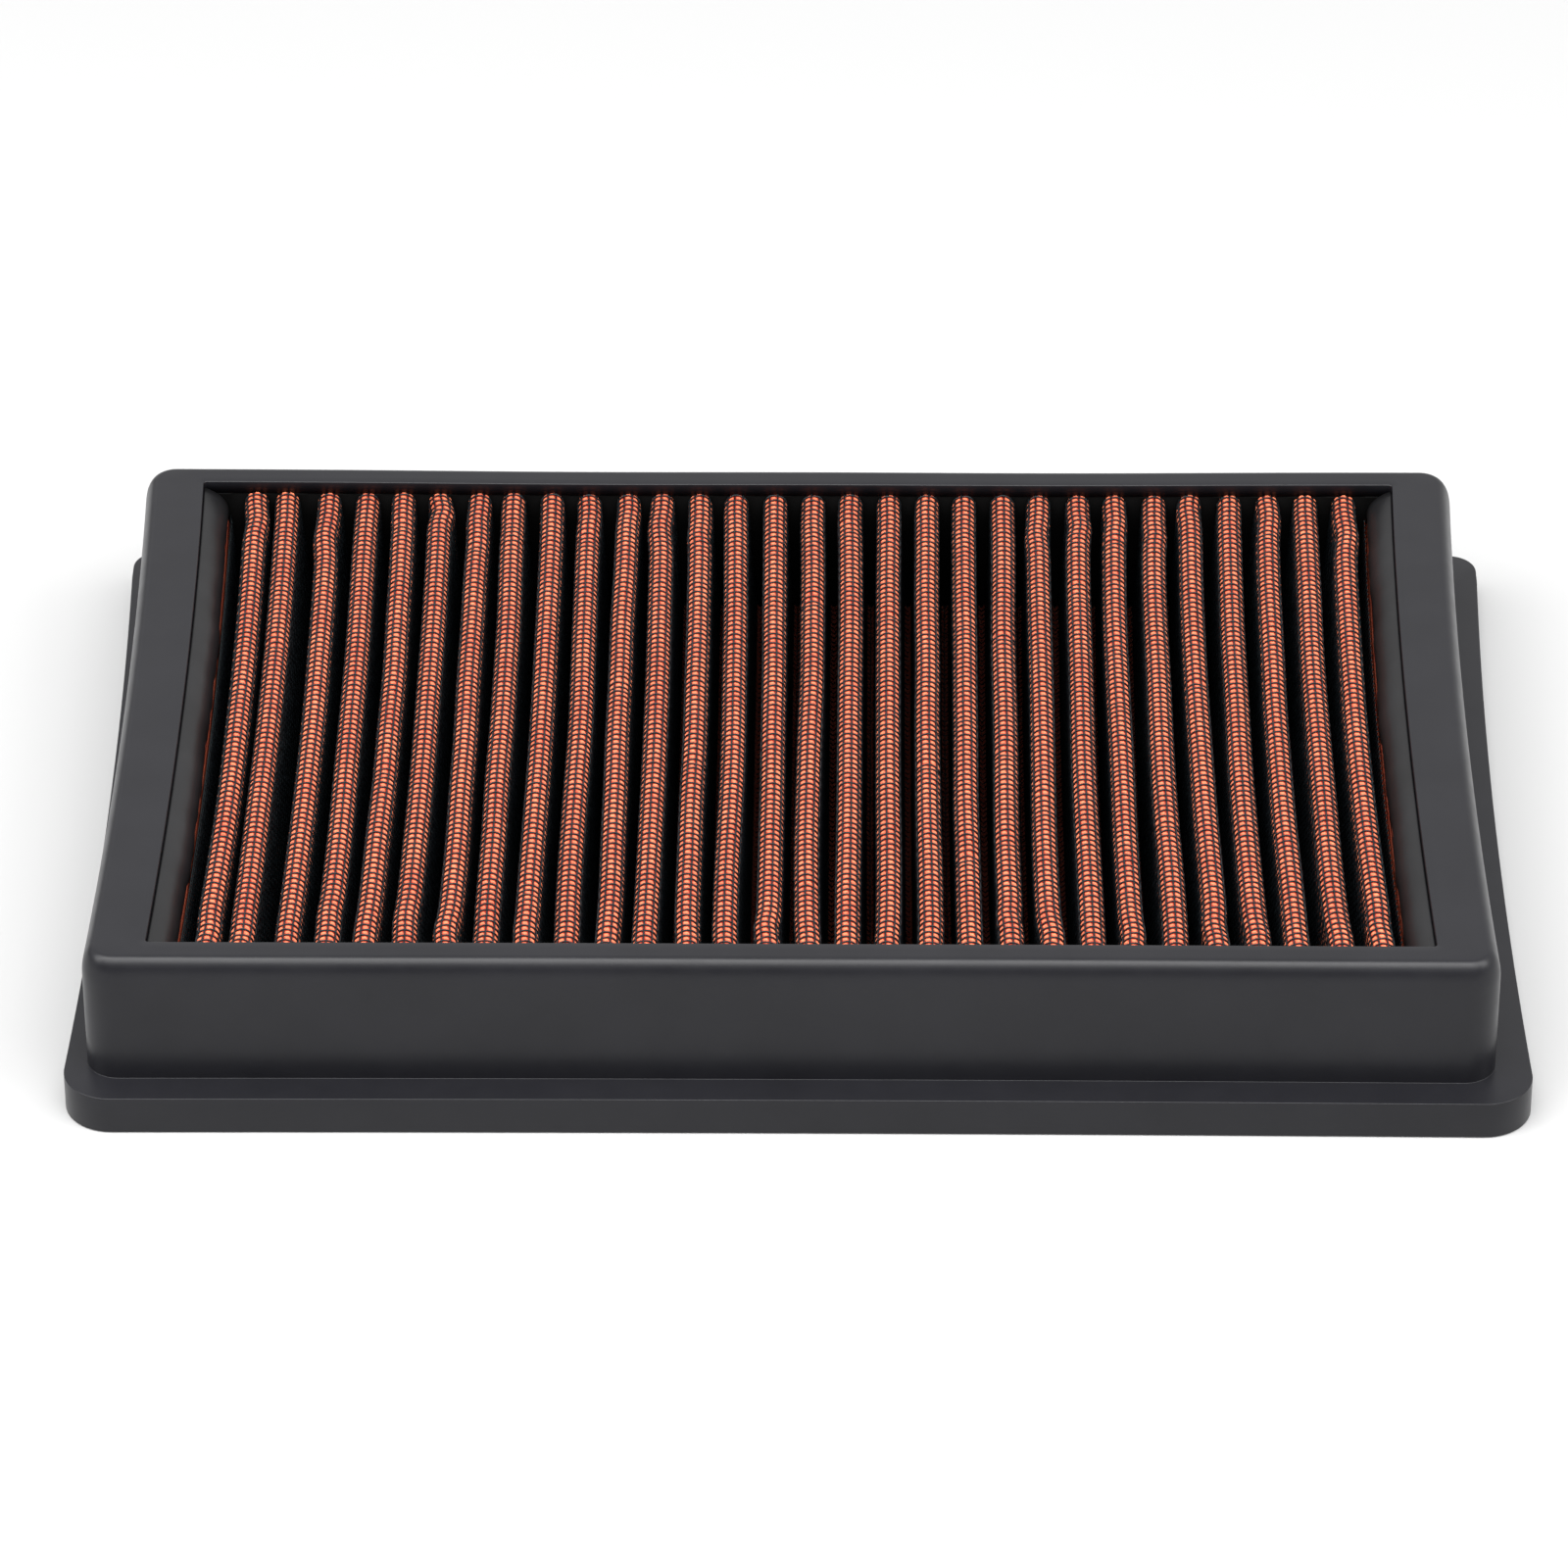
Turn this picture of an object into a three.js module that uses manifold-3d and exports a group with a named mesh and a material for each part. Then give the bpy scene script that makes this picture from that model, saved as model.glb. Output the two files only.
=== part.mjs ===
// Panel air filter: a moulded rubber frame with a sealing flange round a pleated pack of oiled cotton
// gauze between two wire screens. Millimetres, +Z up from the flange's underside to the rim.
// X runs along the filter, across the pleats, and Y along the pleats. The origin is the centre of the underside.
// The shapes are drawn round the middle of the body, which the flange stands slightly off, and moved at the end.
import * as THREE from "three";
import { mergeVertices } from "three/addons/utils/BufferGeometryUtils.js";
import Module from "manifold-3d";

// Driving dimensions
const HEIGHT = 37.3;
const FLANGE = { width: 299, depth: 203, corner: 10, backCorner: 6, thickness: 8.4, edge: 0.4, x: 1.4, y: 0.6 };
const BODY = { width: 287.4, depth: 187.6, corner: 7, edge: 3, edgeDrop: 6.5, cove: 1, x: 0, y: 0 };
const WINDOW = { width: 261.4, depth: 172.4, corner: 0.8, x: 0, y: 0 };
const WALL = 3.5; // frame wall round the pocket that holds the pack
const LIP = 3; // rim thickness over the pocket, and floor thickness under it
const END_BOW = 1.9; // how far the short sides curve in at their middle
const SIDE_BOW = 0.5; // the same for the long sides
const GAP = 0.3; // between pieces that are bonded to each other
const LEDGE = { width: 5.8, below: 2.2 }; // an end seal's shoulder in the window, and its start below the rim

// Pleated pack
const PLEATS = 30;
const PITCH = WINDOW.width / 32;
const BEND = 1.7; // radius of the pack's middle surface at each crest and valley
const PACK_THICKNESS = 2.2;
const PACK_TOP = 35.3;
const PACK_BOTTOM = 3;
const END_LEG_TOP = 28.5; // the first and last legs end here, inside the end seals
const SCREEN = 0.5;
const GAUZE = 0.25;
const GAUZE_LAYERS = 4;
const LAYER_GAP = 0.04;
const BEND_SEGMENTS = 3;

const wasm = await Module();
wasm.setup();

const rubber = new THREE.MeshStandardMaterial({ color: 0x2e2e31, roughness: 0.5, metalness: 0 });
const sealant = new THREE.MeshStandardMaterial({ color: 0x26272a, roughness: 0.45, metalness: 0 });
const wire = new THREE.MeshStandardMaterial({ color: 0x0d1214, roughness: 0.4, metalness: 0.4 });
const cotton = new THREE.MeshStandardMaterial({ color: 0xd9512c, roughness: 0.75, metalness: 0 });

// The moulding's slight pinch: between its corners, every outline curves in towards the middle of each side.
function pinch(x, y) {
  const across = x / (FLANGE.width / 2);
  const along = y / (FLANGE.depth / 2);
  const hollow = (t, size) => Math.max(0, 1 - (t / (1 - (2 * FLANGE.corner) / size)) ** 2);
  return [
    x - END_BOW * across * hollow(along, FLANGE.depth),
    y - SIDE_BOW * along * hollow(across, FLANGE.width),
  ];
}

// A rounded rectangle, anticlockwise from above, with points along each side so that it can bow.
function outline({ width, depth, corner, backCorner = corner, x: offsetX, y: offsetY }, inset, z) {
  const cornerSteps = 5;
  const sideSteps = 6;
  const arcs = [[1, 1], [-1, 1], [-1, -1], [1, -1]].map(([sx, sy], quarter) => {
    const radius = sy > 0 ? backCorner : corner;
    const arc = [];
    for (let i = 0; i <= cornerSteps; i++) {
      const angle = ((quarter + i / cornerSteps) * Math.PI) / 2;
      const x = sx * (width / 2 - radius) + (radius - inset) * Math.cos(angle);
      arc.push([x, sy * (depth / 2 - radius) + (radius - inset) * Math.sin(angle)]);
    }
    return arc;
  });
  const points = [];
  arcs.forEach((arc, quarter) => {
    const from = arc[cornerSteps];
    const to = arcs[(quarter + 1) % arcs.length][0];
    points.push(...arc);
    for (let i = 1; i < sideSteps; i++) {
      const t = i / sideSteps;
      points.push([from[0] + t * (to[0] - from[0]), from[1] + t * (to[1] - from[1])]);
    }
  });
  return points.map(([x, y]) => pinch(x, y)).map(([x, y]) => [x + offsetX, y + offsetY, z]);
}

// A closed solid through rings of equally many points. flat drops one axis to triangulate the two caps.
function loft(rings, flat) {
  const shape = (ring) => ring.map((p) => new THREE.Vector2(...flat(p)));
  if (THREE.ShapeUtils.isClockWise(shape(rings[0]))) return loft(rings.map((ring) => ring.reverse()), flat);
  const count = rings[0].length;
  const positions = rings.flat(2);
  const index = [];
  for (let r = 0; r + 1 < rings.length; r++) {
    for (let i = 0; i < count; i++) {
      const a = r * count + i;
      const b = r * count + ((i + 1) % count);
      index.push(a, b, b + count, a, b + count, a + count);
    }
  }
  const cap = (ring) => THREE.ShapeUtils.triangulateShape(shape(ring), []);
  const last = (rings.length - 1) * count;
  for (const [a, b, c] of cap(rings[0])) index.push(a, c, b);
  for (const [a, b, c] of cap(rings[rings.length - 1])) index.push(last + a, last + b, last + c);
  const at = (i) => new THREE.Vector3(...positions.slice(3 * i, 3 * i + 3));
  let volume = 0;
  for (let i = 0; i < index.length; i += 3) {
    volume += at(index[i]).dot(at(index[i + 1]).cross(at(index[i + 2])));
  }
  if (volume < 0) index.reverse();
  const geometry = new THREE.BufferGeometry();
  geometry.setAttribute("position", new THREE.Float32BufferAttribute(positions, 3));
  geometry.setIndex(index);
  return geometry;
}

// Between three.js geometry and a manifold-3d solid
function toSolid(geometry) {
  const merged = mergeVertices(geometry, 1e-4);
  const vertProperties = merged.attributes.position.array;
  const triVerts = new Uint32Array(merged.index.array);
  return new wasm.Manifold(new wasm.Mesh({ numProp: 3, vertProperties, triVerts }));
}

function toGeometry(solid) {
  const mesh = solid.getMesh();
  const geometry = new THREE.BufferGeometry();
  geometry.setAttribute("position", new THREE.BufferAttribute(mesh.vertProperties, 3));
  geometry.setIndex(new THREE.BufferAttribute(mesh.triVerts, 1));
  return geometry;
}

const fromAbove = (p) => [p[0], p[1]];
const alongX = (p) => [p[1], p[2]];
const alongY = (p) => [p[0], p[2]];

// Frame: flange, cove, wall and rounded rim, with the window and the pack's pocket cut out of it
function frame() {
  const rings = [
    outline(FLANGE, FLANGE.edge, 0),
    outline(FLANGE, 0, FLANGE.edge),
    outline(FLANGE, 0, FLANGE.thickness - FLANGE.edge),
    outline(FLANGE, FLANGE.edge, FLANGE.thickness),
  ];
  const coveSteps = 3;
  for (let i = 0; i <= coveSteps; i++) {
    const angle = ((i / coveSteps) * Math.PI) / 2;
    const inset = -BODY.cove * (1 - Math.sin(angle));
    rings.push(outline(BODY, inset, FLANGE.thickness + BODY.cove * (1 - Math.cos(angle))));
  }
  const edgeSteps = 4;
  for (let i = 0; i <= edgeSteps; i++) {
    const angle = ((i / edgeSteps) * Math.PI) / 2;
    const inset = BODY.edge * (1 - Math.cos(angle));
    rings.push(outline(BODY, inset, HEIGHT - BODY.edgeDrop * (1 - Math.sin(angle))));
  }
  const past = 1;
  const hollow = [
    outline(WINDOW, 0, -past),
    outline(WINDOW, 0, LIP),
    outline(BODY, WALL, LIP),
    outline(BODY, WALL, HEIGHT - LIP),
    outline(WINDOW, 0, HEIGHT - LIP),
    outline(WINDOW, 0, HEIGHT + past),
  ];
  return toGeometry(toSolid(loft(rings, fromAbove)).subtract(toSolid(loft(hollow, fromAbove))));
}

// One side of a layer's profile, offset from the pack's middle surface, from the first leg to the last
function pleatLine(offset) {
  const crestHeight = PACK_TOP - BEND - PACK_THICKNESS / 2;
  const valleyHeight = PACK_BOTTOM + BEND + PACK_THICKNESS / 2;
  const rise = crestHeight - valleyHeight;
  const run = PITCH / 2;
  const lean = Math.acos((2 * BEND) / Math.hypot(run, rise)) - Math.atan2(rise, run);
  const points = [];
  const bend = (x, z, radius, from, to) => {
    for (let i = 0; i <= BEND_SEGMENTS; i++) {
      const angle = from + (i / BEND_SEGMENTS) * (to - from);
      points.push(new THREE.Vector2(x + radius * Math.cos(angle), z + radius * Math.sin(angle)));
    }
  };
  for (let i = 0; i <= PLEATS; i++) {
    const x = (i - PLEATS / 2) * PITCH;
    bend(x, valleyHeight, BEND - offset, Math.PI + lean, 2 * Math.PI - lean);
    if (i < PLEATS) bend(x + run, crestHeight, BEND + offset, Math.PI - lean, lean);
  }
  const extend = (point, side) => {
    const leg = (END_LEG_TOP - point.y) / Math.cos(lean);
    return new THREE.Vector2(point.x + side * leg * Math.sin(lean), END_LEG_TOP);
  };
  return [extend(points[0], -1), ...points, extend(points[points.length - 1], 1)];
}

// A pleated sheet between two offsets, extruded along the pleats
function pleatedSheet(lower, upper) {
  const length = WINDOW.depth - 2 * (SIDE_BOW + GAP);
  const section = [...pleatLine(lower), ...pleatLine(upper).reverse()];
  const geometry = new THREE.ExtrudeGeometry(new THREE.Shape(section), { depth: length, bevelEnabled: false });
  geometry.translate(0, 0, -length / 2);
  geometry.rotateX(Math.PI / 2);
  geometry.deleteAttribute("normal");
  geometry.deleteAttribute("uv");
  return geometry;
}

// End seal: sealant in the pocket at one short side. Its rounded shoulder shows in the window and covers the
// top of the last pleat's leg.
function endSeal(side) {
  const pack = (PLEATS / 2) * PITCH + BEND + PACK_THICKNESS / 2;
  const legFace = pack + 1.2;
  const shoulder = WINDOW.width / 2 - LEDGE.width;
  const half = WINDOW.depth / 2 - SIDE_BOW - GAP;
  const stations = 10;
  const rings = [];
  for (let s = 0; s <= stations; s++) {
    const y = half * ((2 * s) / stations - 1);
    const back = pinch(BODY.width / 2 - WALL, y)[0] - GAP;
    const lipEdge = pinch(WINDOW.width / 2, y)[0] - GAP;
    const section = [
      [legFace, LIP + GAP],
      [back, LIP + GAP],
      [back, HEIGHT - LIP - GAP],
      [lipEdge, HEIGHT - LIP - GAP],
    ];
    const foot = END_LEG_TOP + 1;
    const roundSteps = 5;
    for (let i = 0; i <= roundSteps; i++) {
      const angle = ((i / roundSteps) * Math.PI) / 2;
      const x = lipEdge + (shoulder - lipEdge) * Math.sin(angle);
      section.push([x, foot + (HEIGHT - LEDGE.below - foot) * Math.cos(angle)]);
    }
    section.push([shoulder, END_LEG_TOP + GAP], [legFace, END_LEG_TOP + GAP]);
    rings.push(section.map(([x, z]) => [side * x, y, z]));
  }
  return loft(rings, alongY);
}

// Pleat seal: the sealant bead in the pocket at one long side, which the pleats' ends are cast into
function pleatSeal(side) {
  const end = BODY.width / 2 - WALL - BODY.corner;
  const stations = 10;
  const rings = [];
  for (let s = 0; s <= stations; s++) {
    const x = end * ((2 * s) / stations - 1);
    const face = pinch(x, WINDOW.depth / 2)[1];
    const back = pinch(x, BODY.depth / 2 - WALL)[1] - GAP;
    const section = [
      [face, LIP + GAP],
      [back, LIP + GAP],
      [back, HEIGHT - LIP - GAP],
      [face, HEIGHT - LIP - GAP],
    ];
    rings.push(section.map(([y, z]) => [x, side * y, z]));
  }
  return loft(rings, alongX);
}

const filter = new THREE.Group();
filter.position.set(-FLANGE.x, -FLANGE.y, 0);

function add(name, geometry, material) {
  const mesh = new THREE.Mesh(geometry, material);
  mesh.name = name;
  filter.add(mesh);
}

add("frame", frame(), rubber);
add("end_seal_left", endSeal(-1), sealant);
add("end_seal_right", endSeal(1), sealant);
add("pleat_seal_front", pleatSeal(-1), sealant);
add("pleat_seal_back", pleatSeal(1), sealant);

// The pack from its upper face down: screen, gauze layers, screen
let surface = PACK_THICKNESS / 2;
add("inlet_screen", pleatedSheet(surface - SCREEN, surface), wire);
surface -= SCREEN + LAYER_GAP;
for (let layer = 1; layer <= GAUZE_LAYERS; layer++) {
  add(`gauze_layer_${layer}`, pleatedSheet(surface - GAUZE, surface), cotton);
  surface -= GAUZE + LAYER_GAP;
}
add("outlet_screen", pleatedSheet(surface - SCREEN, surface), wire);

export default filter;
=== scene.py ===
"""Looks for the panel air filter: a moulded rubber frame round pleated oiled gauze between wire screens.

Shapes are worked out in millimetres round the middle of the filter's body, +Z up from the flange's underside,
and turned into metres in the CAD frame when a mesh is made.
"""

import math

import bpy
import numpy as np
from mathutils import Matrix, Vector


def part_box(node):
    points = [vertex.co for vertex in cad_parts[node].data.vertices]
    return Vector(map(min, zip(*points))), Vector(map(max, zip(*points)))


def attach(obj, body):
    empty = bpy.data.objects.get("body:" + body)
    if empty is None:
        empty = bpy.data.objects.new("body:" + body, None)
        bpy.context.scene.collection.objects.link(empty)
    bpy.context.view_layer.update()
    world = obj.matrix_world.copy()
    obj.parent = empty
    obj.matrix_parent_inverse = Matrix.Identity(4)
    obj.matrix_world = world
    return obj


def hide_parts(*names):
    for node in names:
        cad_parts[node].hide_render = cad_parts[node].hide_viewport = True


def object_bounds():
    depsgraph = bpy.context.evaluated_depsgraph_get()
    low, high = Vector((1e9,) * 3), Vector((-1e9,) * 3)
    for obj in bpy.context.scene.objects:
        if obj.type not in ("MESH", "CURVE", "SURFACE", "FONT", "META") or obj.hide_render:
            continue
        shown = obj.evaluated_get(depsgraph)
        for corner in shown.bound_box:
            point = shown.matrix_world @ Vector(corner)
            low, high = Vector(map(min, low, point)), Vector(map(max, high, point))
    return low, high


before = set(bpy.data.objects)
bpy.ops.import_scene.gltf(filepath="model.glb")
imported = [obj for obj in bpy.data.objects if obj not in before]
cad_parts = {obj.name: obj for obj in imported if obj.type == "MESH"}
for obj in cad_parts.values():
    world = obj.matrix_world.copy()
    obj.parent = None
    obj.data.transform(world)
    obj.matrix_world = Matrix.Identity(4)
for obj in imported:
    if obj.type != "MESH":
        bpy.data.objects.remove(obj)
CAD_LOW, CAD_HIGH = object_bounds()
MM = 0.001


def node_box_mm(node):
    """A CAD node's lowest and highest corner in millimetres."""
    low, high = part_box(node)
    return np.array(low) / MM, np.array(high) / MM


# Sizes read from the frame
FLANGE_LOW, FLANGE_HIGH = node_box_mm("frame")
PACK_LOW, PACK_HIGH = node_box_mm("inlet_screen")
OUTLET_LOW, _ = node_box_mm("outlet_screen")
HEIGHT = FLANGE_HIGH[2] - FLANGE_LOW[2]
BODY_CENTRE = np.array([*((PACK_LOW + PACK_HIGH) / 2)[:2], 0])
PACK_TOP = PACK_HIGH[2]
PACK_BOTTOM = OUTLET_LOW[2]
PACK_LENGTH = PACK_HIGH[1] - PACK_LOW[1]

# The moulding, as in the CAD model
FLANGE = {"width": 299, "depth": 203, "corner": 10, "back_corner": 6}
BODY = {"width": 287.4, "depth": 187.6, "corner": 7}
WINDOW = {"width": 261.4, "depth": 172.4, "corner": 0.8}
FLANGE_THICKNESS = 8.4
WALL = 3.5
LIP = 3
END_BOW = 1.9
SIDE_BOW = 0.5

# The seals lie in the frame's pocket and leave a thin bond to its walls
BOND = 0.1
SEAL_FOOT, SEAL_ROOF = LIP + 2 * BOND, HEIGHT - LIP - BOND

# The pleated pack, as in the CAD model, with a pitch to spare at each end for the seal
PLEATS = 30
PITCH = WINDOW["width"] / (PLEATS + 2)
BEND = 1.7
PACK_THICKNESS = 2.2
END_LEG_TOP = 28.5

# Woven wire cloth: 14 wires to the inch
WIRE_PITCH = 25.4 / 14
WIRE_RADIUS = 0.18  # over the coating
WEAVE = 0.1  # how far a wire swings to each side as it passes over and under
SCREEN_OFFSET = PACK_THICKNESS / 2 - WIRE_RADIUS - WEAVE
CREST_ZONE = 4.3  # along the cloth, each side of a crest, where the weave is made in full
CLOTH_HALF = PACK_LENGTH / 2 + 0.7  # half the pleats' length: their ends go into the long sides' seals

# Oiled gauze
PUFF_HEIGHT = 0.38  # from where the wires press it down to the middle of an opening
PUFF_FOOT = 0.27  # how far the pressed gauze lies under the middle of the screen
FLAT_PUFF = 0.45  # the even height of the gauze down in the folds
# Painted shade in the folds: where it starts below the crests, and over what height it reaches full
FOLD_SHADE_FROM, FOLD_SHADE_OVER = 2.4, 1.4  # below the crests, where gauze and wires turn dark, and over what height

random = np.random.default_rng(14)


# ---------------------------------------------------------------- meshes

def add_mesh(name, points, faces, material):
    """An object from points in millimetres round the body's centre, and arrays of faces of one kind each."""
    mesh = bpy.data.meshes.new(name)
    points = (np.asarray(points, float).reshape(-1, 3) + BODY_CENTRE) * MM
    mesh.vertices.add(len(points))
    mesh.vertices.foreach_set("co", points.astype(np.float32).ravel())
    corners = np.concatenate([f.ravel() for f in faces])
    counts = np.concatenate([np.full(len(f), f.shape[1]) for f in faces])
    mesh.loops.add(len(corners))
    mesh.loops.foreach_set("vertex_index", corners.astype(np.int32))
    mesh.polygons.add(len(counts))
    mesh.polygons.foreach_set("loop_start", (np.cumsum(counts) - counts).astype(np.int32))
    mesh.update(calc_edges=True)
    mesh.polygons.foreach_set("use_smooth", np.full(len(counts), True))
    mesh.materials.append(material)
    piece = bpy.data.objects.new(name, mesh)
    bpy.context.scene.collection.objects.link(piece)
    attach(piece, "root")
    return piece


def store(piece, name, values):
    """Gives a value to every point of a mesh, for a material to read."""
    attribute = piece.data.attributes.new(name, "FLOAT", "POINT")
    attribute.data.foreach_set("value", np.asarray(values, np.float32).ravel())


def grid_faces(rows, columns, wrap_rows=False, wrap_columns=False):
    """Quads over a grid of points stored row by row."""
    r = np.arange(rows if wrap_rows else rows - 1)
    c = np.arange(columns if wrap_columns else columns - 1)
    r, c = np.meshgrid(r, c, indexing="ij")
    next_r, next_c = (r + 1) % rows, (c + 1) % columns
    quads = [r * columns + c, r * columns + next_c, next_r * columns + next_c, next_r * columns + c]
    return np.stack([q.ravel() for q in quads], axis=1)


def unit(vectors):
    """The vectors, each made 1 long."""
    return vectors / np.maximum(np.linalg.norm(vectors, axis=-1, keepdims=True), 1e-9)


def add_bar(name, lines, turned, material):
    """A solid bar from the lines that run along it, given in order round its section."""
    points = np.stack(lines)
    count, length = points.shape[:2]
    faces = grid_faces(count, length, wrap_rows=True)
    ends = np.arange(count) * length
    caps = np.stack([ends, ends[::-1] + length - 1])
    if turned:
        faces, caps = faces[:, ::-1], caps[:, ::-1]
    return add_mesh(name, points, [faces, caps], material)


# ---------------------------------------------------------------- materials

class Nodes:
    """Short calls for building a material's node tree."""

    def __init__(self, name):
        self.material = bpy.data.materials.new(name)
        self.material.use_nodes = True
        self.tree = self.material.node_tree
        self.shader = self.tree.nodes["Principled BSDF"]

    def node(self, kind, inputs=None, **settings):
        made = self.tree.nodes.new(kind)
        for key, value in settings.items():
            setattr(made, key, value)
        for key, value in (inputs or {}).items():
            if isinstance(value, bpy.types.NodeSocket):
                self.tree.links.new(value, made.inputs[key])
            else:
                made.inputs[key].default_value = value
        return made

    def noise(self, scale, detail=3, roughness=0.5):
        """Cloudy noise, with scale as its waves to the metre."""
        where = self.node("ShaderNodeTexCoord").outputs["Object"]
        inputs = {"Vector": where, "Scale": scale, "Detail": detail, "Roughness": roughness}
        return self.node("ShaderNodeTexNoise", inputs).outputs["Fac"]

    def spread(self, value, low, high, to_low, to_high):
        """value from low..high mapped to to_low..to_high"""
        inputs = {"Value": value, "From Min": low, "From Max": high, "To Min": to_low, "To Max": to_high}
        return self.node("ShaderNodeMapRange", inputs).outputs["Result"]

    def mix(self, factor, a, b):
        made = self.node("ShaderNodeMix", data_type="RGBA")
        for socket, value in zip((made.inputs[0], made.inputs[6], made.inputs[7]), (factor, a, b)):
            if isinstance(value, bpy.types.NodeSocket):
                self.tree.links.new(value, socket)
            else:
                socket.default_value = value
        return made.outputs[2]

    def maths(self, operation, a, b=0.0):
        return self.node("ShaderNodeMath", {0: a, 1: b}, operation=operation).outputs[0]

    def bump(self, height, distance, under=None):
        """A bumpy normal, with distance in metres, over another one if given."""
        inputs = {"Height": height, "Distance": distance, "Strength": 1.0}
        if under:
            inputs["Normal"] = under
        return self.node("ShaderNodeBump", inputs).outputs["Normal"]

    def set(self, **values):
        """Sets or links the shader's sockets, and gives the material."""
        for key, value in values.items():
            socket = self.shader.inputs[key.replace("_", " ")]
            if isinstance(value, bpy.types.NodeSocket):
                self.tree.links.new(value, socket)
            else:
                socket.default_value = value
        return self.material


def rubber_material(name, dark, light, roughness, shine=1.375, shade_inside_window=False):
    """Satin moulded polyurethane: near black, faintly mottled, with a fine skin, and, if asked, with painted
    shade inside the window, where its reflection is turned down.
    """
    n = Nodes(name)
    mottle = n.noise(60, detail=5, roughness=0.6)
    colour = n.mix(n.spread(mottle, 0.35, 0.65, 0, 1), (*dark, 1), (*light, 1))
    rough = n.spread(n.noise(180, detail=4), 0.3, 0.7, roughness - 0.03, roughness + 0.03)
    soft = n.bump(n.noise(45, detail=2), 0.00005)
    skin = n.bump(n.noise(3200, detail=2), 0.000008, under=soft)
    if shade_inside_window:
        # Painted shade: inside the window the rubber's reflection is turned down
        inside = n.node("ShaderNodeAttribute", attribute_name="inside").outputs["Fac"]
        n.set(Specular_IOR_Level=n.spread(inside, 0.0, 1.0, 0.5, 0.12))
    return n.set(Base_Color=colour, Roughness=rough, Normal=skin, IOR=shine)


def wire_material():
    """Epoxy over wire: glossy black with a cold tint, thinner in places, with painted shade down in the
    folds, where its reflection is turned down.
    """
    n = Nodes("black_coated_wire")
    depth = n.node("ShaderNodeAttribute", attribute_name="depth").outputs["Fac"]
    patch = n.noise(700, detail=3)
    colour = n.mix(n.spread(patch, 0.4, 0.65, 0, 1), (0.004, 0.005, 0.006, 1), (0.01, 0.013, 0.015, 1))
    rough = n.spread(n.noise(1500), 0.3, 0.7, 0.28, 0.45)
    coat = n.bump(n.noise(4000, detail=2), 0.00002)
    return n.set(
        Base_Color=colour, Roughness=rough, Normal=coat, IOR=1.4, Specular_Tint=(0.75, 0.95, 1, 1),
        # Painted shade: the reflection is turned down deep in the folds
        Specular_IOR_Level=n.spread(depth, 0.0, 1.0, 0.5, 0.08),
    )


def gauze_material(name, deep, bright):
    """Open cotton weave soaked in red oil: dark against the wires, partly oil drawn along them and partly
    painted shade where they press in, brighter where it puffs up between, with painted shade down in the
    folds.
    """
    n = Nodes(name)
    # Darker against the wires: partly oil drawn along them, partly painted shade where they press into the
    # gauze
    puff = n.node("ShaderNodeAttribute", attribute_name="puff").outputs["Fac"]
    blotch = n.noise(120, detail=4)
    thread = n.noise(2600, detail=2)
    tone = n.maths("ADD", n.maths("MULTIPLY", puff, 0.85), n.spread(blotch, 0.3, 0.7, -0.08, 0.1))
    tone = n.maths("ADD", tone, n.spread(thread, 0.35, 0.65, -0.12, 0.12))
    colour_before_fold_shade = n.mix(n.spread(tone, 0.18, 0.88, 0, 1), (*deep, 1), (*bright, 1))
    depth = n.node("ShaderNodeAttribute", attribute_name="depth").outputs["Fac"]
    # Painted shade deep in the folds: the colour turns near black and the reflection is turned down below the
    # crests
    painted_fold_shade = (0.04, 0.004, 0.002, 1)
    colour = n.mix(n.spread(depth, 0.0, 1.0, 0, 0.95), colour_before_fold_shade, painted_fold_shade)
    weave = n.node("ShaderNodeUVMap", uv_map="weave").outputs["UV"]
    yarn = n.node("ShaderNodeSeparateXYZ", {"Vector": weave})
    yarns_per_opening = 5
    turn = 2 * math.pi * yarns_per_opening
    ridges = [n.maths("SINE", n.maths("MULTIPLY", yarn.outputs[i], turn)) for i in (0, 1)]
    cloth = n.bump(n.maths("MULTIPLY", ridges[0], ridges[1]), 0.00005)
    fuzz = n.bump(thread, 0.00006, under=cloth)
    rough = n.spread(n.noise(900, detail=3), 0.3, 0.7, 0.42, 0.7)
    return n.set(
        Base_Color=colour, Roughness=rough, Normal=fuzz, IOR=1.38,
        Specular_IOR_Level=n.spread(depth, 0.0, 1.0, 0.5, 0.1),
        Sheen_Weight=0.06, Sheen_Roughness=0.5, Sheen_Tint=(1, 0.6, 0.45, 1),
    )


RUBBER = rubber_material(
    "frame_rubber", (0.0075, 0.0075, 0.0095), (0.0092, 0.0092, 0.0115), 0.34, shade_inside_window=True
)
SEALANT = rubber_material("poured_sealant", (0.007, 0.007, 0.0075), (0.01, 0.01, 0.011), 0.4)
# The bead is darker and reflects less than the poured sealant: painted shade under the rim along the long
# sides
BEAD = rubber_material("painted_shade_sealant", (0.002, 0.002, 0.002), (0.003, 0.003, 0.003), 0.6, 1.12)
WIRE = wire_material()
GAUZE = gauze_material("oiled_gauze", (0.36, 0.018, 0.007), (0.93, 0.275, 0.125))


# ---------------------------------------------------------------- frame

def pinch(x, y):
    """The moulding's sides curve in towards the middle of each side."""
    across = x / (FLANGE["width"] / 2)
    along = y / (FLANGE["depth"] / 2)
    straight_x, straight_y = (1 - 2 * FLANGE["corner"] / FLANGE[side] for side in ("width", "depth"))
    end_bow = END_BOW * np.maximum(0, 1 - (along / straight_y) ** 2)
    side_bow = SIDE_BOW * np.maximum(0, 1 - (across / straight_x) ** 2)
    return x - across * end_bow, y - along * side_bow


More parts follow.
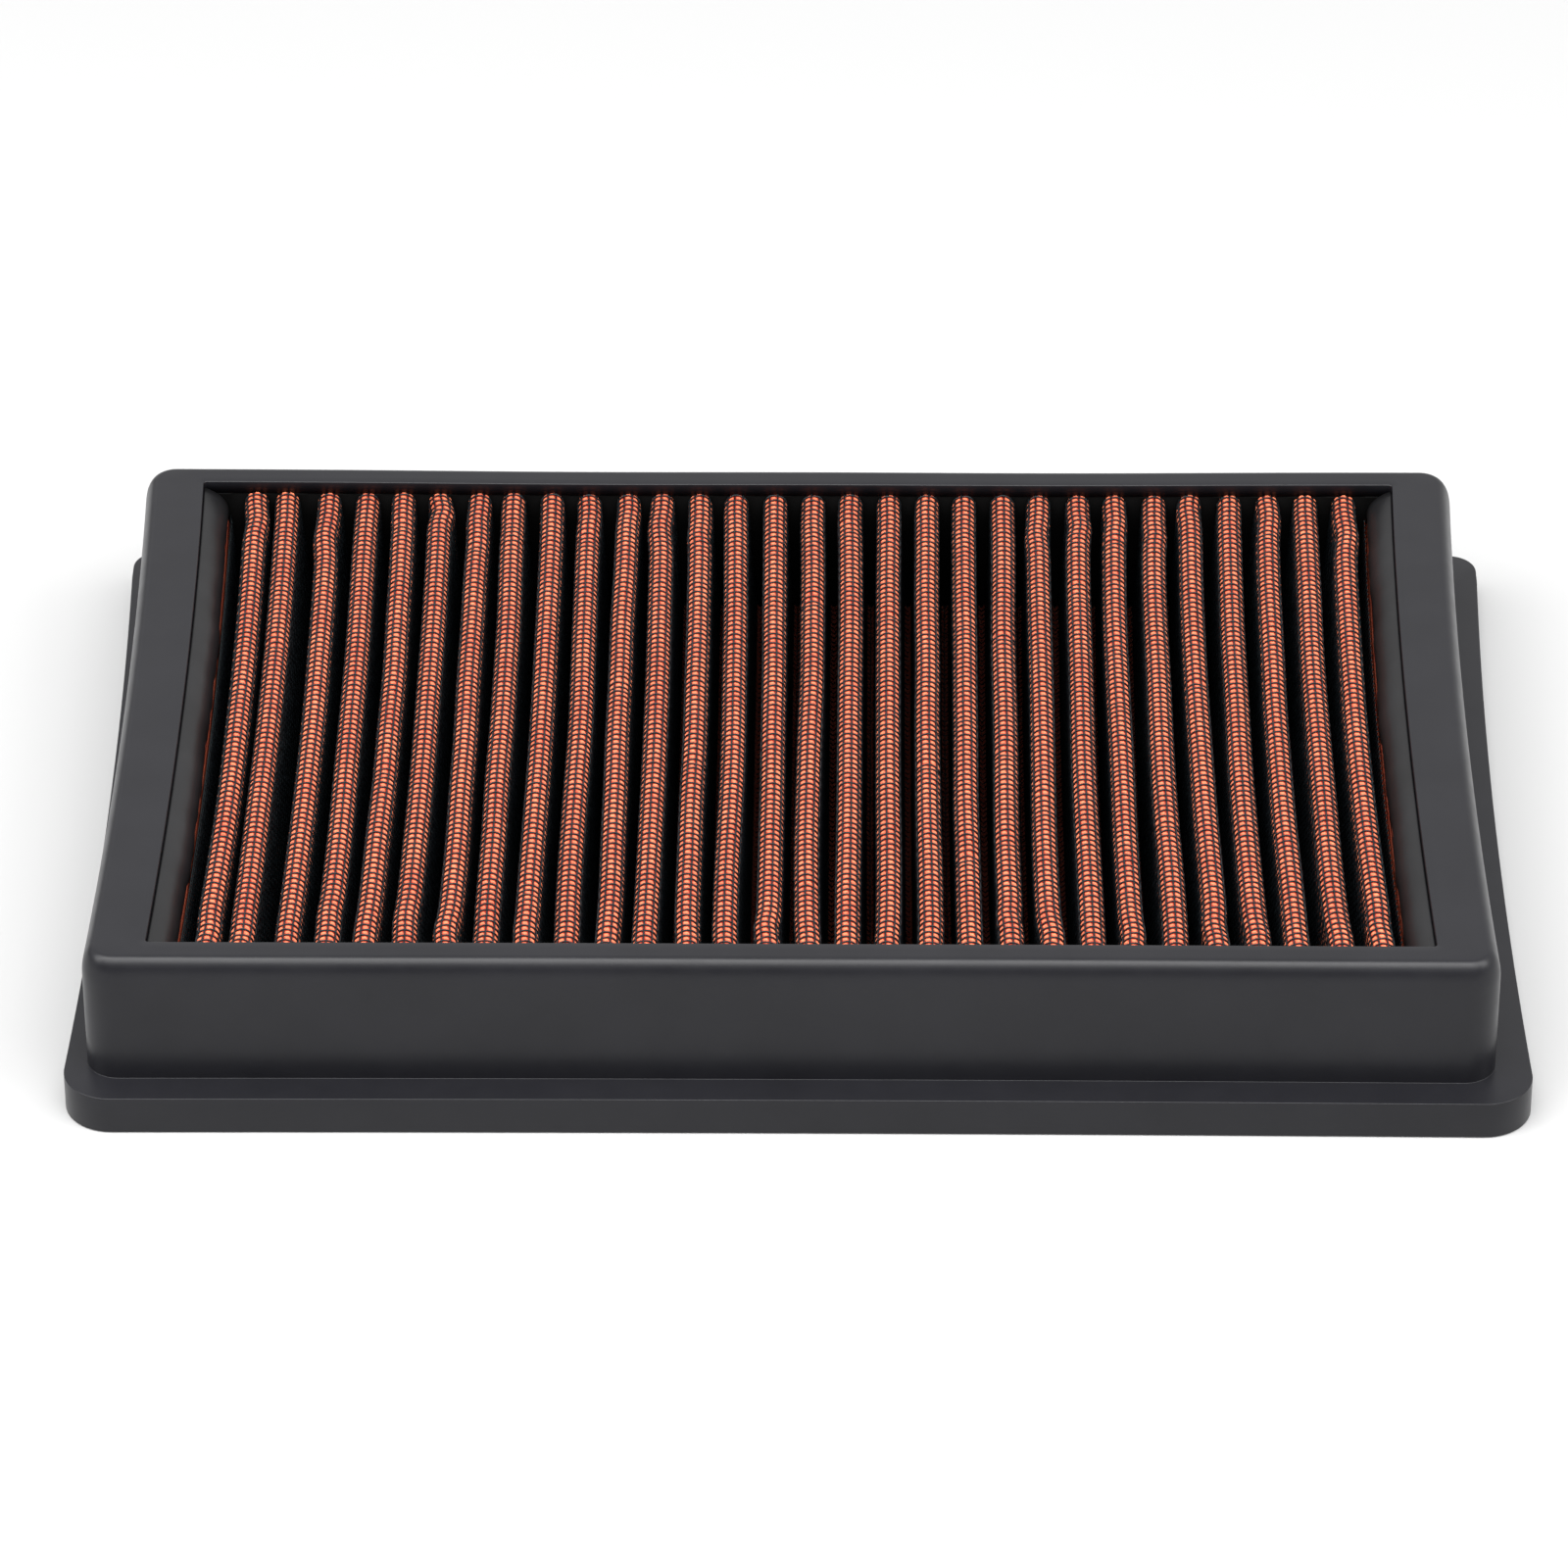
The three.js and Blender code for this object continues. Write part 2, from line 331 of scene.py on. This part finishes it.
def outline(shape, inset, z, centre=(0, 0)):
    """A rounded rectangle with bowed sides, anticlockwise from above."""
    corner_steps, side_steps = 12, 44
    signs = [(1, 1), (-1, 1), (-1, -1), (1, -1)]
    arcs = []
    for quarter, (sx, sy) in enumerate(signs):
        radius = shape.get("back_corner", shape["corner"]) if sy > 0 else shape["corner"]
        angle = (quarter + np.linspace(0, 1, corner_steps + 1)) * math.pi / 2
        arcs.append(np.stack([
            sx * (shape["width"] / 2 - radius) + (radius - inset) * np.cos(angle),
            sy * (shape["depth"] / 2 - radius) + (radius - inset) * np.sin(angle),
        ], axis=1))
    points = []
    for arc, following in zip(arcs, arcs[1:] + arcs[:1]):
        t = np.linspace(0, 1, side_steps + 1)[1:-1, None]
        points += [arc, arc[-1] + t * (following[0] - arc[-1])]
    points = np.concatenate(points)
    x, y = pinch(points[:, 0], points[:, 1])
    return np.stack([x + centre[0], y + centre[1], np.full(len(x), float(z))], axis=1)


def rounded(shape, radius, z, turn_from, turn_to, steps, centre=(0, 0), inward=1):
    """Rings round an edge of a shape: the angle is 0 on the side wall and 90 degrees on the flat."""
    rings = []
    for angle in np.radians(np.linspace(turn_from, turn_to, steps + 1)):
        inset = inward * radius * (1 - math.cos(angle))
        rings.append(outline(shape, inset, z + radius * math.sin(angle), centre))
    return rings


def build_frame():
    """Flange, cove, wall, rounded rim and window wall, and the pocket inside, as one closed skin."""
    flange_centre = tuple(((FLANGE_LOW + FLANGE_HIGH) / 2 - BODY_CENTRE)[:2])
    flange_edge, lip_edge, cove = 0.2, 0.3, 0.12
    rim_edge, rim_drop = 3.0, 6.5  # the rim is rounded further down than across
    lower, upper = flange_edge, FLANGE_THICKNESS - flange_edge
    rings = rounded(FLANGE, flange_edge, lower, -90, 0, 5, flange_centre)
    rings += rounded(FLANGE, flange_edge, upper, 0, 90, 5, flange_centre)
    for angle in np.radians(np.linspace(0, 90, 13)):
        inset = -cove * (1 - math.sin(angle))
        rings.append(outline(BODY, inset, FLANGE_THICKNESS + cove * (1 - math.cos(angle))))
    wall_levels = np.linspace(FLANGE_THICKNESS + cove, HEIGHT - rim_drop, 8)[1:-1]
    rings += [outline(BODY, 0, z) for z in wall_levels]
    for angle in np.radians(np.linspace(0, 90, 16)):
        inset = rim_edge * (1 - math.cos(angle))
        rings.append(outline(BODY, inset, HEIGHT - rim_drop * (1 - math.sin(angle))))
    rings += [outline(WINDOW, -inset, HEIGHT) for inset in (4, 2)]
    rings += rounded(WINDOW, lip_edge, HEIGHT - lip_edge, 90, 0, 4, inward=-1)
    outer_rings = len(rings)  # from here on the skin is inside the window
    rings += [outline(WINDOW, 0, HEIGHT - LIP)]
    rings += [outline(BODY, WALL, HEIGHT - LIP), outline(BODY, WALL, LIP)]
    rings += [outline(WINDOW, 0, LIP)]
    rings += rounded(WINDOW, lip_edge, lip_edge, 0, -90, 3, inward=-1)
    points = np.stack(rings)
    faces = grid_faces(*points.shape[:2], wrap_rows=True, wrap_columns=True)
    piece = add_mesh("filter_frame", sag(points), [faces], RUBBER)
    # Marks the skin inside the window, where the rubber material paints shade by turning its reflection down
    store(piece, "inside", np.repeat(np.arange(len(rings)) >= outer_rings, points.shape[1]))
    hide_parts("frame")


def sag(points):
    """The soft rim dips a little between the corners, and its faces are never quite flat."""
    x, y, z = np.moveaxis(points, -1, 0)
    high = np.clip(z / HEIGHT, 0, 1) ** 2
    dip = 0.2 * (1 - (x / (BODY["width"] / 2)) ** 2)
    ripple = 0.08 * np.sin(x / 17 + 1.3) * np.sin(y / 23 + 0.4)
    return np.stack([x, y, z - high * (np.clip(dip, 0, None) + ripple)], axis=-1)


# ---------------------------------------------------------------- seals

def build_end_seal(side, name):
    """Sealant in the pocket at a short side, with the rounded shoulder that shows in the window."""
    half = WINDOW["depth"] / 2 - SIDE_BOW
    y = np.linspace(-half, half, 90)
    edge = pinch(np.full_like(y, WINDOW["width"] / 2), y)[0]
    back = pinch(np.full_like(y, BODY["width"] / 2 - WALL), y)[0] - BOND
    start, width = 0.12, 5.0  # the shoulder, from the window's edge inwards
    below, drop = 1.4, 6.0  # the shoulder, from the rim downwards
    steepest = math.radians(65)
    wobble = 0.15 * np.sin(y / 11 + side) + 0.12 * np.sin(y / 4.3) + 0.08 * np.sin(y / 1.7)
    section = []
    for angle in np.linspace(steepest, 0, 20):
        inward = (math.cos(angle) - math.cos(steepest)) / (1 - math.cos(steepest))
        fall = 1 - math.sin(angle) / math.sin(steepest)
        section.append((edge - start - inward * (width + wobble), HEIGHT - below - fall * drop))
    inner = edge - start - width - wobble
    section += [(inner + 0.3, HEIGHT - below - drop - 3), (inner + 2, SEAL_FOOT)]
    section += [(back, SEAL_FOOT), (back, SEAL_ROOF)]
    section += [(edge + 0.3, SEAL_ROOF), (edge - 0.1, SEAL_ROOF - 0.2)]
    lines = [np.stack([side * x, y, np.full_like(y, z)], axis=1) for x, z in section]
    piece = add_bar(name, lines, side > 0, SEALANT)
    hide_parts("end_seal_right" if side > 0 else "end_seal_left")


def build_pleat_seal(side, name):
    """The bead at a long side. It creeps a little way along the pleats that are cast into it."""
    end = BODY["width"] / 2 - WALL - BODY["corner"]
    x = np.linspace(-end, end, 900)
    face = pinch(x, np.full_like(x, WINDOW["depth"] / 2))[1]
    back = pinch(x, np.full_like(x, BODY["depth"] / 2 - WALL))[1] - BOND
    creep = 0.9 * (0.5 + 0.5 * np.cos(2 * math.pi * x / PITCH)) ** 2 + 0.25 * np.sin(x / 6.1) ** 2
    inside = np.abs(x) < WINDOW["width"] / 2 - 6  # no creep behind the end seals
    levels = [SEAL_FOOT, PACK_BOTTOM + 4, HEIGHT / 2, PACK_TOP - 8, SEAL_ROOF - 0.3, SEAL_ROOF]
    spill = [0.1, 0.8, 0.6, 0.0, -0.1, -0.25]  # how much of the creep there is at each level
    section = [(face - inside * creep * share, z) for z, share in zip(levels, spill)]
    section += [(face + 0.6, SEAL_ROOF), (back, SEAL_ROOF), (back, SEAL_FOOT)]
    lines = [np.stack([x, side * y, np.full_like(x, z)], axis=1) for y, z in section]
    piece = add_bar(name, lines, side < 0, BEAD)
    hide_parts("pleat_seal_back" if side > 0 else "pleat_seal_front")


# ---------------------------------------------------------------- pleats

class Pleats:
    """One surface of the pleated pack. Distances along it are measured at its own offset from the middle."""

    crest_z = PACK_TOP - BEND - PACK_THICKNESS / 2
    valley_z = PACK_BOTTOM + BEND + PACK_THICKNESS / 2
    leg_tilt = 1.6  # how far the end legs lean out to their seals
    valley_steps, crest_steps = 15, 25  # points round a valley and round a crest
    pleat_steps = valley_steps + crest_steps

    def __init__(self, offset):
        run, rise = PITCH / 2, self.crest_z - self.valley_z
        lean = math.acos(2 * BEND / math.hypot(run, rise)) - math.atan2(rise, run)
        spots = []
        for i in range(PLEATS + 1):
            x = (i - PLEATS / 2) * PITCH
            for angle in np.linspace(math.pi + lean, 2 * math.pi - lean, self.valley_steps):
                spots.append((x, self.valley_z, BEND - offset, angle, -1))
            if i < PLEATS:
                for angle in np.linspace(math.pi - lean, lean, self.crest_steps):
                    spots.append((x + run, self.crest_z, BEND + offset, angle, 1))
        x, z, radius, angle, facing = np.array(spots).T
        cos, sin = np.cos(angle), np.sin(angle)
        px, pz, nx, nz = x + radius * cos, z + radius * sin, facing * cos, facing * sin
        end_x = [px[0] - self.leg_tilt, px[-1] + self.leg_tilt]
        self.x = np.concatenate([[end_x[0]], px, [end_x[1]]])
        self.z = np.concatenate([[END_LEG_TOP], pz, [END_LEG_TOP]])
        self.nx = np.concatenate([nx[:1], nx, nx[-1:]])
        self.nz = np.concatenate([nz[:1], nz, nz[-1:]])
        self.s = np.concatenate([[0], np.cumsum(np.hypot(np.diff(self.x), np.diff(self.z)))])
        self.valleys = self.on_each(self.valley_steps // 2, PLEATS + 1)
        self.crests = self.on_each(self.valley_steps + self.crest_steps // 2, PLEATS)
        self.length = self.s[-1]

    def on_each(self, step, count):
        """Where the same step of each pleat lies. The end leg's top comes before the first pleat."""
        return self.s[1 + step + self.pleat_steps * np.arange(count)]

    def samples(self, centres, zone, fine, coarse):
        """Distances along the surface: in step with the wires near the centres, and sparse between."""
        near = np.arange(0, self.length, fine)
        gap = np.abs(near[:, None] - centres).min(axis=1)
        near = near[gap < zone]
        in_valley, on_crest = (0, 7, 14), (15, 21, 27, 33, 39)
        bends = [self.on_each(step, PLEATS + 1) for step in in_valley]
        bends += [self.on_each(step, PLEATS) for step in on_crest]
        rest = np.concatenate([*bends, np.arange(0, self.length, coarse)])
        rest = rest[np.abs(rest[:, None] - centres).min(axis=1) > zone + fine / 2]
        return np.unique(np.round(np.concatenate([[0], near, rest, [self.length]]), 4))

    def place(self, s, y, height):
        """Points at distances s along the surface and y along the pleats, at a height, and their normals.

        The crests wander, the pack's ends follow the frame's bow, and the cloth has slipped a little along y.
        """
        s, y, height = np.broadcast_arrays(s, y, height)
        x, z = np.interp(s, self.s, self.x), np.interp(s, self.s, self.z)
        nx, nz = np.interp(s, self.s, self.nx), np.interp(s, self.s, self.nz)
        x, z = x + height * nx, z + height * nz
        pleat = np.clip(np.floor((x / PITCH) + PLEATS / 2).astype(int), 0, PLEATS - 1)
        up = np.clip((z - self.valley_z) / (self.crest_z - self.valley_z), 0, 1)
        inside = np.abs(x) < PLEATS / 2 * PITCH
        moved_x = pinch(x + inside * up * wander(pleat, y), y)[0]
        moved_z = z - inside * up * droop(pleat, y)
        slip = 0.22 * np.sin(x / 31 + 0.6) * np.cos(y / 60) + 0.1 * np.sin(x / 7.3 + y / 40)
        points = np.stack([moved_x, y + slip, moved_z], axis=-1)
        return points, np.stack([nx, np.zeros_like(nx), nz], axis=-1)


# How each crest differs: waves to the side, a shift, a dip, a kink near each end, and dents here and there
WANDER_WAVES = [38, 21, 12, 6.5]
WANDER_PHASE = random.uniform(0, 2 * math.pi, (PLEATS, 4))
WANDER_SIZE = random.normal(0, 1, (PLEATS, 4)) * np.array([0.17, 0.1, 0.05, 0.025])
WANDER_SHIFT = random.normal(0, 0.14, PLEATS)
WANDER_SHIFT[1] -= 1.2  # the second pleat leans towards the first
CREST_DIP = random.uniform(0, 0.2, PLEATS)
KINK_SIZE = random.normal(0, 0.28, (PLEATS, 2))
KINK_AT = random.uniform(70, 83, (PLEATS, 2)) * np.array([1, -1])
KINK_WIDTH = random.uniform(3, 6, (PLEATS, 2))
DENTS = 70
DENT_PLEAT = random.integers(0, PLEATS, DENTS)
DENT_Y = random.uniform(-80, 80, DENTS)
DENT_DEPTH = random.uniform(0.1, 0.4, DENTS)
DENT_WIDTH = random.uniform(1.2, 3.0, DENTS)


def wander(pleat, y):
    """How far a crest strays to the side along its length."""
    total = WANDER_SHIFT[pleat]
    for k, wave in enumerate(WANDER_WAVES):
        total = total + WANDER_SIZE[pleat, k] * np.sin(y / wave + WANDER_PHASE[pleat, k])
    for end in (0, 1):
        bump = np.exp(-(((y - KINK_AT[pleat, end]) / KINK_WIDTH[pleat, end]) ** 2))
        total = total + KINK_SIZE[pleat, end] * bump
    across = (pleat + 0.5 - PLEATS / 2) / (PLEATS / 2)
    stretch = 1.4 * across**2 + 1.2 * across - 0.74  # the pack is pulled out more at the right
    most_left, most_right = -1.4, 0.85
    return np.clip(total, most_left, most_right) + stretch


def droop(pleat, y):
    """How far a crest sinks: slow waves and dents from handling."""
    total = CREST_DIP[pleat] + 0.08 * np.sin(y / 19 + WANDER_PHASE[pleat, 0])
    for which, at, depth, width in zip(DENT_PLEAT, DENT_Y, DENT_DEPTH, DENT_WIDTH):
        total = total + (pleat == which) * depth * np.exp(-(((y - at) / width) ** 2))
    return np.clip(total, -0.05, None)


def puff(s, y):
    """From 0 against a wire to 1 in the middle of an opening of the screen."""
    both = np.sin(math.pi * s / WIRE_PITCH) * np.sin(math.pi * y / WIRE_PITCH)
    return np.abs(both) ** 0.7


def mark_depth(piece, fold_end):
    """Stores how far down in the folds each point is, from 0 at the face of the pack to 1, which the
    materials use for painted shade in the folds.

    The top of an end leg counts as face too, so it gets no painted shade: it catches light beside its seal.
    """
    points = np.empty(len(piece.data.vertices) * 3, np.float32)
    piece.data.vertices.foreach_get("co", points)
    x, y, z = (points.reshape(-1, 3) / MM - BODY_CENTRE).T
    unbowed_x = 2 * x - pinch(x, y)[0]
    on_end_leg = np.abs(unbowed_x) > PLEATS / 2 * PITCH + 0.5
    from_leg_top = np.where(on_end_leg, np.abs(z - END_LEG_TOP), HEIGHT)
    down = np.minimum(np.abs(z - fold_end), from_leg_top)
    store(piece, "depth", np.clip((down - FOLD_SHADE_FROM) / FOLD_SHADE_OVER, 0, 1))


def build_gauze(name, offset, screen_offset, centres, node, detailed):
    """One gauze layer. An outer layer is measured along its screen, so that it puffs up between the wires."""
    surface = Pleats(screen_offset if detailed else offset)
    middles = getattr(surface, centres)
    outward = 1 if offset > 0 else -1
    if detailed:
        zone, fine, step = CREST_ZONE, WIRE_PITCH / 3, WIRE_PITCH / 2
        last = math.ceil(CLOTH_HALF / step)
        y = np.arange(-last, last + 1) * step
    else:
        zone, fine, step = 3.5, 1.2, WIRE_PITCH * 2
        y = np.arange(-CLOTH_HALF, CLOTH_HALF + step, step)
    y = np.unique(np.clip(y, -CLOTH_HALF, CLOTH_HALF))
    s = surface.samples(middles, zone, fine, 14)
    grid_s, grid_y = np.meshgrid(s, y, indexing="ij")
    rise = puff(grid_s, grid_y) if detailed else np.full(grid_s.shape, 0.5)
    nearest = np.abs(s[:, None] - middles).min(axis=1)[:, None]
    rise = np.where(nearest > zone, FLAT_PUFF, rise)
    height = outward * (rise * PUFF_HEIGHT - PUFF_FOOT) if detailed else 0
    points, _ = surface.place(grid_s, grid_y, height)
    piece = add_mesh(name, points, [grid_faces(len(s), len(y))[:, ::-1]], GAUZE)
    mark_depth(piece, PACK_TOP if outward > 0 else PACK_BOTTOM)
    # The material darkens the gauze against the wires from this: partly oil, partly painted shade
    store(piece, "puff", rise)
    loops = np.empty(len(piece.data.loops), np.int32)
    piece.data.loops.foreach_get("vertex_index", loops)
    cells = np.stack([grid_s.ravel(), grid_y.ravel()], axis=1)[loops] / WIRE_PITCH
    piece.data.uv_layers.new(name="weave").data.foreach_set("uv", cells.astype(np.float32).ravel())
    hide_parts(node)


def add_wires(names, paths, normals, sides, fold_end, node):
    """Round wires along paths[wire, point], shared out over the named pieces.

    The ring of sides at each point hangs on the surface's normal there.
    """
    parts = len(names)
    for name, path, normal in zip(names, np.array_split(paths, parts), np.array_split(normals, parts)):
        wires, steps = path.shape[:2]
        along = unit(np.gradient(path, axis=1))
        across = unit(np.cross(along, normal))
        outward = np.cross(across, along)
        angle = np.arange(sides) * 2 * math.pi / sides
        ring = np.cos(angle)[:, None] * outward[:, :, None] + np.sin(angle)[:, None] * across[:, :, None]
        points = path[:, :, None] + WIRE_RADIUS * ring
        first = np.arange(wires)[:, None, None] * steps * sides
        skin = grid_faces(steps, sides, wrap_columns=True)[:, ::-1]
        start = np.arange(sides)
        caps = np.stack([start, start[::-1] + (steps - 1) * sides])
        faces = [(first + skin).reshape(-1, 4), (first + caps).reshape(-1, sides)]
        piece = add_mesh(name, points, faces, WIRE)
        mark_depth(piece, fold_end)
        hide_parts(node)


def build_screen(name, side, centres, node):
    """Woven wire over one face of the pack: wires across the pleats and wires along them, over and under."""
    surface = Pleats(side * SCREEN_OFFSET)
    fold_end = PACK_TOP if side > 0 else PACK_BOTTOM
    middles = getattr(surface, centres)

    s = surface.samples(middles, CREST_ZONE, WIRE_PITCH / 3, 9)
    last = int(CLOTH_HALF / WIRE_PITCH)
    rows = np.arange(-last, last + 1)
    near = np.abs(s[:, None] - middles).min(axis=1) < CREST_ZONE
    swing = WEAVE * near * np.cos(math.pi * s / WIRE_PITCH) * np.where(rows % 2, -1, 1)[:, None]
    names = [f"{name}_cross_wires_{part}" for part in (1, 2, 3, 4)]
    add_wires(names, *surface.place(s, rows[:, None] * WIRE_PITCH, swing), 5, fold_end, node)

    columns = np.arange(0, int(surface.length / WIRE_PITCH) + 1)
    near = np.abs(columns[:, None] * WIRE_PITCH - middles).min(axis=1) < CREST_ZONE
    y = np.clip(np.arange(-2 * last - 1, 2 * last + 2) * WIRE_PITCH / 2, -CLOTH_HALF, CLOTH_HALF)
    swing = -WEAVE * np.cos(math.pi * y / WIRE_PITCH) * np.where(columns[near] % 2, -1, 1)[:, None]
    names = [f"{name}_long_wires_{part}" for part in (1, 2)]
    add_wires(names, *surface.place(columns[near][:, None] * WIRE_PITCH, y, swing), 5, fold_end, node)

    y = np.linspace(-CLOTH_HALF, CLOTH_HALF, 22)
    names = [f"{name}_deep_wires"]
    add_wires(names, *surface.place(columns[~near][:, None] * WIRE_PITCH, y, 0), 4, fold_end, node)


# ---------------------------------------------------------------- stage

def build_stage():
    """A plain pale floor just under the flange."""
    n = Nodes("floor")
    material = n.set(Base_Color=(0.42, 0.42, 0.42, 1), Roughness=0.9)
    mesh = bpy.data.meshes.new("floor")
    reach = 30
    corners = [(-reach, -reach, 0), (reach, -reach, 0), (reach, reach, 0), (-reach, reach, 0)]
    mesh.from_pydata(corners, [], [(0, 1, 2, 3)])
    mesh.materials.append(material)
    floor = bpy.data.objects.new("floor", mesh)
    floor.location.z = CAD_LOW.z - 0.0002
    bpy.context.scene.collection.objects.link(floor)


def add_light(name, place, size, power):
    """A soft box that faces the middle of the object."""
    data = bpy.data.lights.new(name, "AREA")
    data.shape = "RECTANGLE"
    data.size, data.size_y = size
    data.energy = power
    lamp = bpy.data.objects.new(name, data)
    lamp.location = place
    lamp.rotation_mode = "QUATERNION"
    lamp.rotation_quaternion = (-Vector(place)).to_track_quat("-Z", "Y")
    bpy.context.scene.collection.objects.link(lamp)


def build_light():
    """A white sky, dimmer low down in front and on the left, and soft boxes above the front and sides."""
    world = bpy.data.worlds.new("studio")
    world.use_nodes = True
    tree = world.node_tree
    background = tree.nodes["Background"]
    ray = tree.nodes.new("ShaderNodeTexCoord")
    split = tree.nodes.new("ShaderNodeSeparateXYZ")
    tree.links.new(ray.outputs["Generated"], split.inputs[0])

    def step(value, low, high, to_low, to_high):
        made = tree.nodes.new("ShaderNodeMapRange")
        made.interpolation_type = "SMOOTHSTEP"
        tree.links.new(value, made.inputs["Value"])
        for key, number in (("From Min", low), ("From Max", high), ("To Min", to_low), ("To Max", to_high)):
            made.inputs[key].default_value = number
        return made.outputs["Result"]

    def multiply(a, b):
        made = tree.nodes.new("ShaderNodeMath")
        made.operation = "MULTIPLY"
        tree.links.new(a, made.inputs[0])
        tree.links.new(b, made.inputs[1])
        return made.outputs[0]

    x, y, z = split.outputs
    in_front = multiply(step(y, -0.9, -0.2, 1, 0), step(z, 0.25, 0.6, 1, 0))
    on_left = multiply(step(x, -0.7, -0.1, 1, 0), step(z, 0.15, 0.45, 1, 0))
    strength = multiply(step(in_front, 0, 1, 0.92, 0.1), step(on_left, 0, 1, 1, 0.4))
    tree.links.new(strength, background.inputs["Strength"])
    background.inputs["Color"].default_value = (1, 1, 1, 1)
    bpy.context.scene.world = world
    add_light("overhead", (-0.1, -0.55, 1.65), (1.8, 0.8), 30)
    add_light("front", (0, -1.25, 1.45), (2.4, 0.6), 20)
    for side in (-1, 1):
        add_light(f"side_{side}", (side * 1.4, -0.5, 1.3), (1.0, 1.4), 22)
    bpy.context.scene.view_settings.view_transform = "Standard"


def build_camera():
    """A long lens in front of the filter and above it, turned a little to the left."""
    data = bpy.data.cameras.new("camera")
    data.lens, data.sensor_width = 183.39, 36
    data.clip_start, data.clip_end = 0.1, 100
    camera = bpy.data.objects.new("camera", data)
    yaw, pitch, roll = -0.0107, 0.6073, -0.0026
    aim = Matrix.Rotation(-yaw, 4, "Z") @ Matrix.Rotation(math.pi / 2 - pitch, 4, "X")
    turn = aim @ Matrix.Rotation(roll, 4, "Z")
    camera.matrix_world = Matrix.Translation((0.0113, -1.3930, 0.9843)) @ turn
    bpy.context.scene.collection.objects.link(camera)
    bpy.context.scene.camera = camera


build_frame()
build_end_seal(-1, "left_end_seal")
build_end_seal(1, "right_end_seal")
build_pleat_seal(-1, "front_pleat_seal")
build_pleat_seal(1, "back_pleat_seal")
build_screen("inlet", 1, "crests", "inlet_screen")
build_gauze("gauze_top", 0.42, SCREEN_OFFSET, "crests", "gauze_layer_1", True)
build_gauze("gauze_upper_middle", 0.15, None, "crests", "gauze_layer_2", False)
build_gauze("gauze_lower_middle", -0.15, None, "crests", "gauze_layer_3", False)
build_gauze("gauze_bottom", -0.42, -SCREEN_OFFSET, "valleys", "gauze_layer_4", True)
build_screen("outlet", -1, "valleys", "outlet_screen")
build_stage()
build_light()
build_camera()
